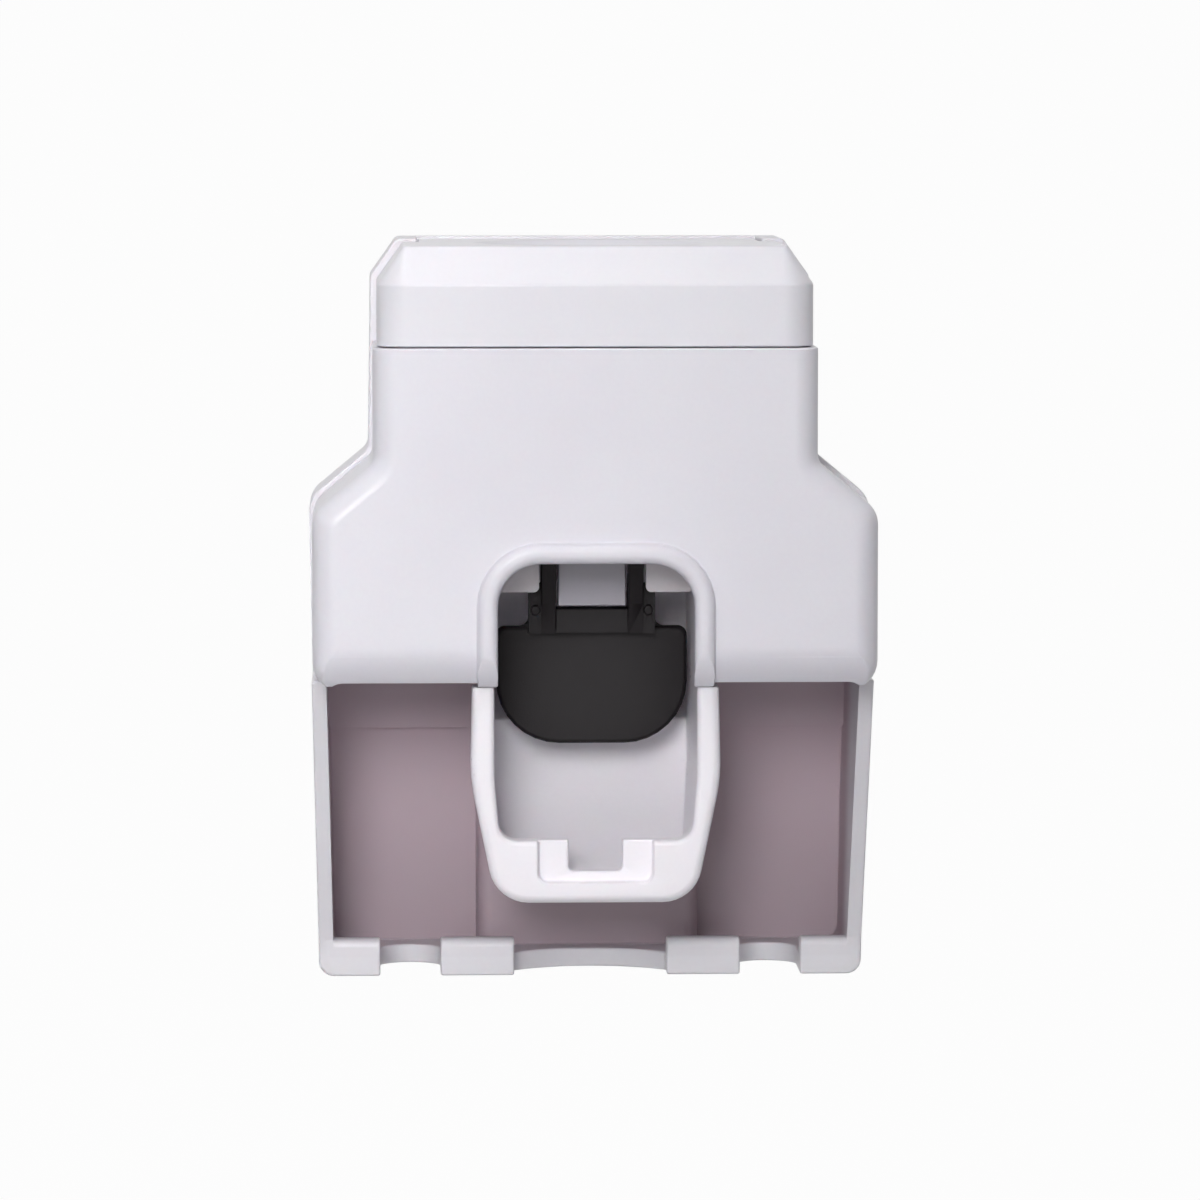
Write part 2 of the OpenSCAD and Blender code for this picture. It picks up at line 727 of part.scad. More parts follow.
module pump_carrier() {
    front = pivot_depth + boss_r + 0.9;
    color(abs_white) hang() difference() {
        union() {
            centre_box(22, axis_depth - 18, front + 2, plate_high - plate_thick, plate_high);
            side_boxes(ear_in, ear_in + ear_t, ear_back, front, pivot_h - 8, plate_high - plate_thick + 0.5);
            front_slab(ear_back, ear_back + apron_t) for (s = [0, 1]) mirror([s, 0]) apron();
            side_boxes(rib_in, rib_in + rib_t, ear_back, ear_back + 6, apron_low + 9,
                plate_high - plate_thick + 0.5);
            side_boxes(ear_in, rib_in + 0.5, front - rib_t, front, pivot_h + 6,
                plate_high - plate_thick + 0.5);
        }
        upright(0, axis_depth, barrel_r + 0.1, plate_high - plate_thick - past, plate_high + past);
        for (s = [-1, 1], t = [-1, 1])
            upright(s * collar_boss.x, axis_depth + t * collar_boss.y, screw_r + 0.2,
                plate_high - plate_thick - past, plate_high + past);
        width_rod(pivot_depth, pivot_h, pin_r, -30, 30);
    }
}

// Front view of the apron beside an arm, its lower inner corner rounded
module apron() {
    r = apron_round;
    w = cup_clear_w / 2 - side_gap - ear_in;
    h = plate_high - plate_thick + 0.5 - apron_low;
    translate([ear_in, apron_low + r]) square([w, h - r]);
    translate([ear_in + r, apron_low]) square([w - r, h]);
    translate([ear_in + r, apron_low + r]) circle(r);
}

module pump_barrel()
    color(abs_white) hang() translate([0, -axis_depth, 0]) rotate_extrude()
        polygon([[3, flange_high], [flange_r, flange_high], [flange_r, plate_high], [barrel_r, plate_high],
            [barrel_r, cap_low + cap_t], [bore_r, cap_low + cap_t], [bore_r, roof_h], [3, roof_h]]);

module barrel_end_cap()
    color(abs_white) hang() translate([0, -axis_depth, 0]) rotate_extrude()
        polygon([[stem_r + 0.08, cap_low], [barrel_r + 1.4, cap_low], [barrel_r + 1.4, cap_low + 6],
            [barrel_r, cap_low + 6], [barrel_r, cap_low + cap_t], [stem_r + 0.08, cap_low + cap_t]]);

module inlet_valve()
    color(silicone) hang() upright(0, axis_depth, 4.2, roof_h - 0.8, roof_h);

module pivot_pin()
    color(steel) hang() width_rod(pivot_depth, pivot_h, pin_r, -ear_in - ear_t - 2, ear_in + ear_t + 2);

module pin_clips()
    color(steel) hang()
        for (s = [0, 1]) mirror([s, 0, 0]) difference() {
            width_rod(pivot_depth, pivot_h, pin_r + 1.4, ear_in + ear_t + 0.1, ear_in + ear_t + 0.9);
            width_rod(pivot_depth, pivot_h, pin_r, ear_in, ear_in + ear_t + 3);
            translate([ear_in, -pivot_depth - 0.8, pivot_h - 5]) cube([5, 1.6, 5]);
        }

// A wire coil between the piston and the barrel's roof
module return_spring() {
    sides = 6;
    per_turn = 16;
    steps = spring_turns * per_turn;
    coil_r = bore_r - 0.7 - wire_r;
    rise = spring_h - 2 * wire_r - 0.1;
    color(steel) hang() translate([0, -axis_depth, piston_top + wire_r + 0.05])
        polyhedron(
            [for (k = [0 : steps], i = [0 : sides - 1])
                let (a = 360 * k / per_turn, b = 360 * i / sides, r = coil_r + wire_r * cos(b))
                [r * cos(a), r * sin(a), rise * k / steps + wire_r * sin(b)]],
            concat(
                [[for (i = [0 : sides - 1]) i]],
                [[for (i = [sides - 1 : -1 : 0]) steps * sides + i]],
                [for (k = [0 : steps - 1], i = [0 : sides - 1]) let (j = (i + 1) % sides)
                    [k * sides + i, (k + 1) * sides + i, (k + 1) * sides + j]],
                [for (k = [0 : steps - 1], i = [0 : sides - 1]) let (j = (i + 1) % sides)
                    [k * sides + i, (k + 1) * sides + j, k * sides + j]]));
}

module spout_piston() {
    block_back = axis_depth - 4.5;
    color(abs_white) hang() difference() {
        union() {
            centre_box(spout_w / 2, block_back, spout_front, mouth_step_h, block_top);
            centre_box(spout_w / 2, mouth_back, spout_front, spout_low, mouth_step_h + 1);
            upright(0, axis_depth, stem_r, block_top - 1, piston_low + 0.5);
            translate([0, -axis_depth, 0]) rotate_extrude()
                polygon([[0, piston_low], [bore_r - side_gap, piston_low], [bore_r - side_gap, piston_low + 1],
                    [bore_r - 1.6, piston_low + 1], [bore_r - 1.6, piston_top - 1],
                    [bore_r - side_gap, piston_top - 1], [bore_r - side_gap, piston_top], [0, piston_top]]);
            width_rod(axis_depth, trunnion_h, trunnion_r, -arm_out, arm_out);
        }
        upright(0, axis_depth, channel_r, mouth_step_h + 2, piston_top + past);
        upright(0, mouth_depth, channel_r - 0.2, spout_low - past, mouth_step_h + 4);
        upright(0, mouth_depth, channel_r + 0.4, spout_low - past, spout_low + 1.8);
    }
}

module piston_seal()
    color(silicone) hang() translate([0, -axis_depth, 0]) rotate_extrude()
        polygon([[bore_r - 1.6, piston_low + 1.05], [bore_r - 0.4, piston_low + 1.05],
            [bore_r - 0.05, piston_low + piston_l / 2], [bore_r - 0.4, piston_top - 1.05],
            [bore_r - 1.6, piston_top - 1.05]]);

module outlet_valve()
    color(silicone) hang() difference() {
        upright(0, mouth_depth, channel_r + 0.4, spout_low + 0.2, spout_low + 1.8);
        centre_box(channel_r, mouth_depth - 0.15, mouth_depth + 0.15, spout_low - past, spout_low + 3);
    }

module push_lever() {
    bar_front = spout_front;
    bar_top = spout_low - 0.5;
    bar_low = paddle_top - 1;
    bar_hw = 10.5;
    gusset_rise = 4;
    stud_r = 0.8;
    fillet_r = 1.6;
    fillet_in = 0.7;
    horn_l = reach / cos(horn_angle) + trunnion_r + 1;
    prong = trunnion_r + slot_clear + 1.2;
    color(lever_black) hang() difference() {
        union() {
            for (s = [-1, 1]) {
                side = s > 0 ? arm_in : -arm_out;
                width_rod(pivot_depth, pivot_h, boss_r, side, side + arm_t);
                side_slab(side, side + arm_t) {
                    polygon([[pivot_depth - 3, pivot_h - 1], [paddle_back, bar_top + 2.4],
                        [paddle_back, bar_low], [bar_front, bar_low], [bar_front + 1.2, bar_top + 1],
                        [pivot_depth + 3, pivot_h - 1]]);
                    translate([pivot_depth, pivot_h]) rotate(180 + horn_angle)
                        translate([0, -prong]) square([horn_l, 2 * prong]);
                }
            }
            centre_box(bar_hw, paddle_back, bar_front, bar_low, bar_top);
            for (s = [-1, 1])
                depth_rod(s * (arm_out + 0.9), bar_top - 0.2, stud_r, bar_front - 1, bar_front + 0.4);
            side_boxes(arm_in, bar_hw, paddle_back, bar_front, bar_top - 1, bar_top + gusset_rise);
            front_slab(paddle_back + fillet_in, paddle_back + paddle_t - fillet_in)
                for (s = [0, 1]) mirror([s, 0]) difference() {
                    translate([bar_hw - 1, bar_low]) square([fillet_r + 1, fillet_r + 1]);
                    translate([bar_hw + fillet_r, paddle_top + fillet_r]) circle(fillet_r);
                }
            paddle();
        }
        width_rod(pivot_depth, pivot_h, pin_r + pin_clear, -arm_out - past, arm_out + past);
        side_slab(-arm_out - past, arm_out + past)
            translate([pivot_depth, pivot_h]) rotate(180 + horn_angle) {
                translate([reach - slot_clear, 0]) circle(trunnion_r + slot_clear);
                translate([reach - slot_clear, -trunnion_r - slot_clear])
                    square([horn_l, 2 * (trunnion_r + slot_clear)]);
            }
    }
}

// Plate that the brush pushes: square shoulders, generous lower corners
module paddle()
    front_loft(outline(mirrored([
        [paddle_w / 2, paddle_low, paddle_round],
        [paddle_w / 2, paddle_top, 1.5]])),
        [[0.7, paddle_back], [0.2, paddle_back + 0.25], [0, paddle_back + 0.7],
         [0, paddle_back + paddle_t - 0.7], [0.2, paddle_back + paddle_t - 0.25],
         [0.7, paddle_back + paddle_t]]);

adhesive_pad();
hook_plate();
rear_case();
front_cover();
brush_cup();
housing_screws();
cup_screws();
top_collar();
collar_screws();
pump_carrier();
pump_barrel();
barrel_end_cap();
inlet_valve();
tube_gasket();
gasket_ring();
pivot_pin();
pin_clips();
return_spring();
spout_piston();
piston_seal();
outlet_valve();
push_lever();
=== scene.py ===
# %% [markdown]
# # A wall-mounted tube dispenser
# The construction, with every size, comes from the frame. This script adds what a camera sees:
# rounded moulding edges, plastic, rubber and steel, the spring's wire, the screws' threads, and
# the studio. The frame is loaded first, and its box is kept.

# %% Load the frame
import json
from math import radians

import bmesh
import bpy
import numpy as np
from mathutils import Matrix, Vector
from mathutils.bvhtree import BVHTree


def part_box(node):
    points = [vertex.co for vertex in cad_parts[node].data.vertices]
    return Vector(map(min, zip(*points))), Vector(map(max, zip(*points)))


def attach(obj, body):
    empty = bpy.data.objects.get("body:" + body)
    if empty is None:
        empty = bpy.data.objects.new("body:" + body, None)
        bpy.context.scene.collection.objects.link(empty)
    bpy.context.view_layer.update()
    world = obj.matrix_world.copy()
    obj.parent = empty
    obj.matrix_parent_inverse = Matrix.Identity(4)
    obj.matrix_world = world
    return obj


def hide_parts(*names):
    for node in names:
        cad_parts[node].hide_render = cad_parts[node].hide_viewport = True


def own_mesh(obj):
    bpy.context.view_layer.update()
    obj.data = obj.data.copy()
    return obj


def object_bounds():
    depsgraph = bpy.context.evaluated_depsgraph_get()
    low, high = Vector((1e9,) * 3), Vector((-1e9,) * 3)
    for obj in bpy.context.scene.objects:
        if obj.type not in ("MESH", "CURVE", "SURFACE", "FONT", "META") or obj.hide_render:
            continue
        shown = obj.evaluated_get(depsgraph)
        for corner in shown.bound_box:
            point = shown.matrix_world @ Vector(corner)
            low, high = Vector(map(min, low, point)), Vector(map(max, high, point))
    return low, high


MM = 0.001
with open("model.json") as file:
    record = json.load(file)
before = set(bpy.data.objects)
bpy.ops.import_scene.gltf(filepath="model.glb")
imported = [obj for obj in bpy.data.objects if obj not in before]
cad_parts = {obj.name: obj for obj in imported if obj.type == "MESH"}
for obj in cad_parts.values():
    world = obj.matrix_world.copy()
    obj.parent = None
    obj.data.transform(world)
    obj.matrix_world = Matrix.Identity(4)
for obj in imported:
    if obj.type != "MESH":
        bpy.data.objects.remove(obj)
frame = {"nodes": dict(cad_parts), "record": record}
cad_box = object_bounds()
nodes = frame["nodes"]
BODY_OF = {node: body for body, members in frame["record"]["behaviour"]["bodies"].items()
           for node in members}
SLOT_OF = {part["node"]: part["material_slot"] for part in frame["record"]["subparts"]}
scene = bpy.context.scene
print("nodes loaded:", len(nodes))

# %% [markdown]
# ## Camera
# The photograph looks at the front from about a metre, a little from the left and from above.
# A long lens keeps the verticals nearly parallel, which is how a product picture avoids leaning
# walls. The camera tracks its aim with its own Y axis up, so the horizon stays level.

# %% Camera
CAMERA_AT = Vector((-35.4, -1052.0, 76.6)) * MM
CAMERA_AIM = Vector((0.6, -52.0, -8.4)) * MM
LENS_MM = 185.3
SENSOR_MM = 36.0
FAR_CLIP = 30.0

camera_data = bpy.data.cameras.new("studio_camera")
camera_data.lens = LENS_MM
camera_data.sensor_width = SENSOR_MM
camera_data.sensor_fit = "HORIZONTAL"
camera_data.clip_end = FAR_CLIP
camera = bpy.data.objects.new("studio_camera", camera_data)
camera.location = CAMERA_AT
camera.rotation_euler = (CAMERA_AIM - CAMERA_AT).to_track_quat("-Z", "Y").to_euler()
scene.collection.objects.link(camera)
scene.camera = camera
scene.view_settings.view_transform = "Standard"
print("camera distance in metres:", round((CAMERA_AIM - CAMERA_AT).length, 4))

# %% [markdown]
# ## Shader maths
# A finish is easier to read as an expression than as a list of links. This class wraps one output
# socket. Sums and products of numbers become Math nodes, and one method adds any other node.


# %% Shader expressions
class Shade:
    """An output socket of a node tree that can be added, multiplied and so on."""

    def __init__(self, tree, socket):
        self.tree = tree
        self.socket = socket

    def node(self, kind, settings=None, out=0, **values):
        """Adds a node of a kind, sets its settings, then gives its sockets values or links. A
        socket goes by its name, or by its number after an i where names repeat."""
        made = self.tree.nodes.new(kind)
        for name, value in (settings or {}).items():
            setattr(made, name, value)
        for name, value in values.items():
            key = int(name[1:]) if name[1:].isdigit() else name.replace("_", " ")
            plug(self.tree, made.inputs[key], value)
        return Shade(self.tree, made.outputs[out])

    def math(self, operation, *terms):
        """A Math node of an operation on this value and other terms."""
        values = {f"i{k}": term for k, term in enumerate((self,) + terms)}
        return self.node("ShaderNodeMath", {"operation": operation}, **values)

    def __add__(self, other):
        return self.math("ADD", other)

    def __mul__(self, other):
        return self.math("MULTIPLY", other)

    def __sub__(self, other):
        return self.math("SUBTRACT", other)

    def __rsub__(self, other):
        return self.node("ShaderNodeMath", {"operation": "SUBTRACT"}, i0=other, i1=self)

    __radd__ = __add__
    __rmul__ = __mul__

    def between(self, low, high):
        """Rises smoothly from 0 where the value is low to 1 where it is high."""
        return self.node("ShaderNodeMapRange", {"interpolation_type": "SMOOTHSTEP"},
                         Value=self, From_Min=low, From_Max=high)

    def mix(self, low, high):
        """The colour low where the value is 0 and the colour high where it is 1."""
        return self.node("ShaderNodeMix", {"data_type": "RGBA"}, out=2, i0=self, i6=low, i7=high)

    def axis(self, out):
        """One part of a vector: 0, 1 or 2 for x, y or z."""
        return self.node("ShaderNodeSeparateXYZ", out=out, Vector=self)


def plug(tree, socket, value):
    """Links a Shade into a socket, or sets the socket's own value."""
    if isinstance(value, Shade):
        tree.links.new(value.socket, socket)
    else:
        socket.default_value = value


print("a Shade can:", [word for word in vars(Shade) if not word.startswith("_")])

# %% [markdown]
# ## Colour, noise and bumps
# A screen's colour numbers aren't amounts of light, so they are made linear before a shader gets
# them. Every finish starts from one Principled shader and the piece's own coordinates in metres,
# so a pattern has a real size and stays put when the piece moves.


# %% Finish helpers
def srgb(r, g, b):
    """Linear colour of a colour given in the 0 to 255 numbers of a screen."""
    channel = np.array([r, g, b]) / 255.0
    linear = np.where(channel <= 0.04045, channel / 12.92, ((channel + 0.055) / 1.055) ** 2.4)
    return tuple(linear) + (1.0,)


def new_finish(name, **constants):
    """A material, its shader, and a Shade of the piece's own coordinates in metres."""
    material = bpy.data.materials.new(name)
    material.use_nodes = True
    tree = material.node_tree
    shader = tree.nodes["Principled BSDF"]
    for key, value in constants.items():
        shader.inputs[key.replace("_", " ")].default_value = value
    place = tree.nodes.new("ShaderNodeTexCoord")
    return material, shader, Shade(tree, place.outputs["Object"])


def feed(shader, place, **values):
    """Feeds what changes over the surface into the shader."""
    for key, value in values.items():
        plug(place.tree, shader.inputs[key.replace("_", " ")], value)


def noise(place, scale, detail=2.0, stretch=None):
    """Soft noise from 0 to 1; scale is features a metre, stretch squeezes it along an axis."""
    if stretch:
        place = place.node("ShaderNodeVectorMath", {"operation": "MULTIPLY"}, i0=place, i1=stretch)
    return place.node("ShaderNodeTexNoise", Vector=place, Scale=scale, Detail=detail)


def bump(height, strength, distance):
    """A Bump node's normal from a height; distance in metres."""
    return height.node("ShaderNodeBump", Height=height, Strength=strength, Distance=distance)


WHITE = (1.0, 1.0, 1.0, 1.0)
print("sRGB 128 in linear light:", round(srgb(128, 128, 128)[0], 4))

# %% [markdown]
# ## White mouldings
# Injection-moulded ABS is never flat: the tool's polish leaves a faint orange peel, the sheen
# drifts where the melt cooled slower, and hands leave hairline scuffs. A single colour would look
# like paper, so each finish gets its own noise, small enough to be felt and not seen.
#
# The bays of the rear case lie deep under the cover, so their walls get painted shade: a darker
# mauve-grey colour, darkest at the foot, and a rougher surface. It could be painted by hand. Here
# it is a mask worked out from limits in millimetres, each with the few tenths over which it sets
# in.

# %% Painted shade in the bays
LEAN = 0.019
BAY_MM = {"side": (44.8, 45.4), "front": (-26.0, -10.0), "back": (-2.7, -2.1),
          "foot": (-71.1, -70.5), "roof": (-23.2, -22.8), "hollow_front": (-8.6, -8.3),
          "hollow_side": (17.2, 17.6), "hollow_top": (-35.5, -35.2),
          "pocket_front": (-4.2, -3.8), "pocket_foot": (-33.6, -33.3)}
# Heights in mm over which the painted shade in the bays lightens from its foot colour to its top
# colour.
BAY_SHADE_MM = (-66.0, -30.0)


def past(value, limits):
    """0 before the first limit in mm, 1 past the second, and a smooth rise between them."""
    return value.between(limits[0] * MM, limits[1] * MM)


def in_the_bays(place):
    """1 on the rear case's inner walls below the cover, where shade is painted, 0 outside. The side
    walls lean outwards by 1.5 mm over 80 mm, so the inside ends at |x| = 43.4 mm + 0.019 z, with z
    from the foot. The pocket for the hook plate and the hollow behind the cup open to the wall and
    get no painted shade."""
    x, y, z = place.axis(0).math("ABSOLUTE"), place.axis(1), place.axis(2)
    within = 1.0 - past(x - z * LEAN, BAY_MM["side"])
    deep = past(y, BAY_MM["front"]) * (1.0 - past(y, BAY_MM["back"]))
    high = past(z, BAY_MM["foot"]) * (1.0 - past(z, BAY_MM["roof"]))
    hollow = past(y, BAY_MM["hollow_front"]) * (1.0 - past(x, BAY_MM["hollow_side"])) * (
        1.0 - past(z, BAY_MM["hollow_top"]))
    pocket = past(y, BAY_MM["pocket_front"]) * past(z, BAY_MM["pocket_foot"])
    return within * deep * high * (1.0 - hollow) * (1.0 - pocket)


# The span in mm over which the painted shade in the bays lightens upwards.
print("the film thins over, in mm:", BAY_SHADE_MM[1] - BAY_SHADE_MM[0])


# %% Moulded plastic
def scuffs(place, scale, turn):
    """Hairlines: noise squeezed across one direction, kept only where it peaks."""
    turned = place.node("ShaderNodeMapping", Vector=place, Rotation=turn, Scale=(1.0, 14.0, 1.0))
    return noise(turned, scale, detail=3.0).between(0.67, 0.75)


def moulded(name, colour, tint, rough, grain=0.0, bay_shade=None):
    """Moulded plastic: drifting tone, drifting sheen, hairline scuffs, orange peel and grain.
    Painted shade darkens the inside of the bays and makes it rougher: its two colours are those at
    the foot and at the top."""
    material, shader, place = new_finish(name, IOR=1.49, Subsurface_Weight=0.05,
                                         Subsurface_Scale=1.5 * MM)
    drift = noise(place, scale=30.0, detail=3.0)
    speck = noise(place, scale=1400.0)
    hair = scuffs(place, 150.0, turn=(0.3, 0.5, 0.4)) + scuffs(place, 190.0, turn=(-0.6, 0.2, 1.9))
    orange_peel = noise(place, scale=480.0, detail=1.0) * (1.0 - grain)
    height = orange_peel + noise(place, scale=5200.0, detail=1.0) * grain
    tone = (drift * 0.8 + speck * 0.2).between(0.25, 0.75).mix(tint, colour)
    sheen = drift * 0.07 + hair * 0.12 + speck * 0.03 + rough
    if bay_shade:
        # Painted shade: the bays' walls get darker colours, darkest at the foot, and a rougher
        # surface.
        share = in_the_bays(place)
        tone = share.mix(tone, past(place.axis(2), BAY_SHADE_MM).mix(*bay_shade))
        sheen = share * 0.2 + sheen
    feed(shader, place, Base_Color=tone, Roughness=sheen,
         Normal=bump(height - hair * 0.04, strength=0.3, distance=0.05 * MM))
    return material


finishes = {
    "cover_white": moulded("cover_abs", srgb(220, 218, 225), srgb(215, 212, 220), rough=0.26),
    # The rear case's painted shade in the bays: its colour at the foot and at the top.
    "case_white": moulded("case_abs", srgb(223, 221, 226), srgb(218, 215, 221), rough=0.33,
                          grain=0.3, bay_shade=(srgb(164, 147, 155), srgb(194, 175, 184))),
    "cup_white": moulded("cup_abs", srgb(241, 237, 243), srgb(236, 232, 238), rough=0.24),
    "collar_white": moulded("collar_abs", srgb(222, 220, 226), srgb(217, 215, 222), rough=0.25),
    "inner_white": moulded("inner_abs", srgb(228, 222, 226), srgb(220, 214, 218), rough=0.42,
                           grain=0.5),
    "spout_white": moulded("spout_pp", srgb(176, 172, 181), srgb(168, 164, 173), rough=0.36,
                           grain=0.2),
}
print("white finishes:", sorted(finishes))

# %% [markdown]
# ## Black lever
# The paddle is the one dark piece. It is moulded in a tool with a fine spark-eroded texture, so it
# looks satin. Bristles polish the middle of the paddle, and lint settles on the rest.

# %% Lever plastic
PADDLE_MIDDLE = (0.0, -28.8 * MM, -25.5 * MM)


def lever_plastic(name):
    """Black textured plastic, smoother in the middle of the paddle than towards its rim."""
    material, shader, place = new_finish(name, IOR=1.5, Specular_IOR_Level=0.22)
    away = place.node("ShaderNodeVectorMath", {"operation": "DISTANCE"}, out=1, i0=place,
                      i1=PADDLE_MIDDLE)
    polished = 1.0 - away.between(4.0 * MM, 16.0 * MM)
    drift = noise(place, scale=60.0, detail=3.0)
    grain = noise(place, scale=3600.0)
    lint = noise(place, scale=900.0, detail=4.0).between(0.7, 0.8)
    feed(shader, place,
         Base_Color=(drift * 0.7 + lint * 0.5).between(0.2, 1.0).mix(
             srgb(17, 12, 15), srgb(26, 20, 24)),
         Roughness=0.52 - polished * 0.1 + grain * 0.08,
         Normal=bump(grain - polished * grain * 0.6, strength=0.55, distance=0.05 * MM))
    return material


finishes["lever_black"] = lever_plastic("lever_abs")
print("lever finish:", finishes["lever_black"].name)

# %% [markdown]
# ## Rubber, steel and foam
# The gasket, the seal and the valves are milky silicone: soft sheen, a little light inside. The
# screws, pin, clips and spring are steel, where the colour is in the reflection, so Metallic is 1
# and only tone and roughness drift. The adhesive pad is closed-cell foam.


# %% Rubber, steel and foam
def silicone_rubber(name):
    """Milky rubber with a faint bloom of powder."""
    material, shader, place = new_finish(name, IOR=1.42, Subsurface_Weight=0.3,
                                         Subsurface_Scale=2.0 * MM)
    bloom = noise(place, scale=500.0, detail=4.0)
    feed(shader, place,
         Base_Color=bloom.between(0.3, 0.7).mix(srgb(206, 209, 212), srgb(218, 221, 224)),
         Roughness=bloom * 0.2 + 0.38,
         Normal=bump(noise(place, scale=2400.0), strength=0.3, distance=0.03 * MM))
    return material


def plated_steel(name, dark, light, rough):
    """Plated steel: tone drifts, drawing lines and stains change the roughness."""
    material, shader, place = new_finish(name, Metallic=1.0)
    stain = noise(place, scale=420.0, detail=4.0)
    lines = noise(place, scale=900.0, stretch=(1.0, 1.0, 8.0))
    feed(shader, place,
         Base_Color=stain.between(0.3, 0.7).mix(dark, light),
         Roughness=stain * 0.16 + lines * 0.1 + rough,
         Normal=bump(lines, strength=0.2, distance=0.02 * MM))
    return material


def cell_foam(name):
    """Closed-cell foam: small cells open at the cut edge, darker between them, where the bump
    sinks.
    """
    material, shader, place = new_finish(name, Roughness=0.85)
    cells = place.node("ShaderNodeTexVoronoi", {"feature": "F1"}, Vector=place, Scale=1600.0)
    feed(shader, place,
         # The colour is darker between the cells, where the bump sinks.
         Base_Color=cells.between(0.1, 0.8).mix(srgb(206, 205, 200), srgb(182, 180, 174)),
         Normal=bump(1.0 - cells, strength=0.7, distance=0.12 * MM))
    return material


finishes["silicone"] = silicone_rubber("silicone_rubber")
finishes["steel"] = plated_steel("zinc_plated_steel", srgb(176, 178, 182), srgb(206, 207, 210),
                                 rough=0.2)
finishes["spring_steel"] = plated_steel("stainless_wire", srgb(168, 168, 170),
                                        srgb(198, 198, 200), rough=0.16)
finishes["adhesive"] = cell_foam("pad_foam")
print("finishes:", len(finishes))

# %% [markdown]
# ## Standing in for a node
# A node keeps its place and its part in the simulation. A better-looking piece rides on the node's
# body, hides it and takes its finish from the record's slot. One function does all of this, so that
# no piece is made without it.


# %% A piece for a node
def finished(name, mesh, node):
    """Puts a mesh into the scene as a piece that stands for a node and takes its finish."""
    piece = bpy.data.objects.new(name, mesh)
    scene.collection.objects.link(piece)
    mesh.materials.clear()
    mesh.materials.append(finishes[SLOT_OF[node]])
    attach(piece, BODY_OF[node])
    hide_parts(node)
    return piece


print("bodies:", sorted(set(BODY_OF.values())))

# %% [markdown]
# ## Soft edges
# No moulded edge is sharp: the tool's corners are rounded so that the plastic flows and lets go.
# The frame's meshes are loose triangles with hard edges. A merged copy of each gets its flat faces
# joined again, its sharp edges bevelled, and normals weighted by area, so that a wide face stays
# flat and the light turns only in the narrow rounding. The copy then stands for the node.

# %% Joined faces
MERGE_GAP = 0.002 * MM
FLAT_DEGREES = 0.6
SHARP_DEGREES = 28.0


def split_faces(node):
    """Mesh of a node with its flat facets joined and every face convex, and its sharp edges."""
    work = bmesh.new()
    work.from_mesh(nodes[node].data)
    bmesh.ops.remove_doubles(work, verts=work.verts, dist=MERGE_GAP)
    bmesh.ops.dissolve_limit(work, angle_limit=radians(FLAT_DEGREES), verts=work.verts,
                             edges=work.edges)
    bmesh.ops.connect_verts_concave(work, faces=work.faces[:])
    work.edges.index_update()
    edges = [edge for edge in work.edges
             if edge.is_manifold and edge.calc_face_angle(0.0) > radians(SHARP_DEGREES)]
    return work, edges


cover, cover_edges = split_faces("front_cover")
print("cover's facets:", len(nodes["front_cover"].data.polygons), "joined:", len(cover.faces),
      "sharp edges:", len(cover_edges))
cover.free()

# %% [markdown]
# ## Faces that stray
# A bevel goes wrong where two edges lie closer than two rounds, as on a thin rib: the faces cross
# and turn inward, which renders black. Each copy is therefore measured against its node. Edges
# beside a face that strayed are left sharp, and the copy is made again until none strays, five
# times at most.

# %% Measuring a copy
SLIVER_AREA = 0.001 * MM * MM
INWARD = -0.2
TINY = 1e-18


def strayed(work, tree, limit):
    """Corners of the faces whose middle lies more than limit off the node or that face inward."""
    corners = []
    for face in work.faces:
        _, normal, _, gap = tree.find_nearest(face.calc_center_median())
        if face.calc_area() > SLIVER_AREA and (gap > limit or normal.dot(face.normal) < INWARD):
            corners += [vert.co[:] for vert in face.verts]
    return np.array(corners)


def edge_distance(points, starts, ends):
    """Least distance from any of the points to each edge. A point is laid on the edge by
    t = (point - start) . (end - start) / length squared, held between 0 and 1."""
    along = ends - starts
    offset = points[:, None, :] - starts[None]
    share = (offset * along).sum(axis=2) / np.maximum((along * along).sum(axis=1), TINY)
    nearest = np.clip(share, 0.0, 1.0)[..., None] * along
    return np.linalg.norm(offset - nearest, axis=2).min(axis=0)


start = np.array([[0.0, 0.0, 0.0]])
end = np.array([[2.0, 0.0, 0.0]])
print("from (1, 1, 0) to an edge along X:", edge_distance(np.array([[1.0, 1.0, 0.0]]), start, end))

# %% [markdown]
# ## Flat walls that look flat
# A smooth normal is shared by all the faces at a corner. Where a round ends at a corner of wide
# walls, that bends their shading over a large area, as if they were dented. An edge that is marked
# sharp parts the normals, so such edges are found by angle and area.

# %% Creases
CREASE_DEGREES = 38.0
DRAFT_DEGREES = (0.25, 2.4)
WIDE_FACE = 5.0 * MM * MM
COSINE_60 = 0.5
COSINE_LEVEL = 0.9999


def creased(edge):
    """True where faces turn by over 38 degrees, or where two wide flat faces meet at the slight
    angle of a wall's draft. A smooth normal there would spread a false gradient over both."""
    turn = edge.calc_face_angle(0.0)
    slight = radians(DRAFT_DEGREES[0]) < turn < radians(DRAFT_DEGREES[1])
    return turn >= radians(CREASE_DEGREES) or (
        slight and min(face.calc_area() for face in edge.link_faces) > 2 * WIDE_FACE)


def corner_creases(vert):
    """Edges that part the wide faces at a corner from what isn't level with them, where two of
    the wide faces turn by over 60 degrees. A round that ends there would otherwise bend them."""
    wide = [face.normal for face in vert.link_faces if face.calc_area() > WIDE_FACE]
    if all(one.dot(other) > COSINE_60 for one in wide for other in wide):
        return []
    return [edge for edge in vert.link_edges if edge.calc_face_angle(0.0) > radians(1.0)
            and any(face.normal.dot(flat) > COSINE_LEVEL
                    for face in edge.link_faces for flat in wide)]


print("a face is wide from, in square mm:", round(WIDE_FACE / MM / MM, 2))

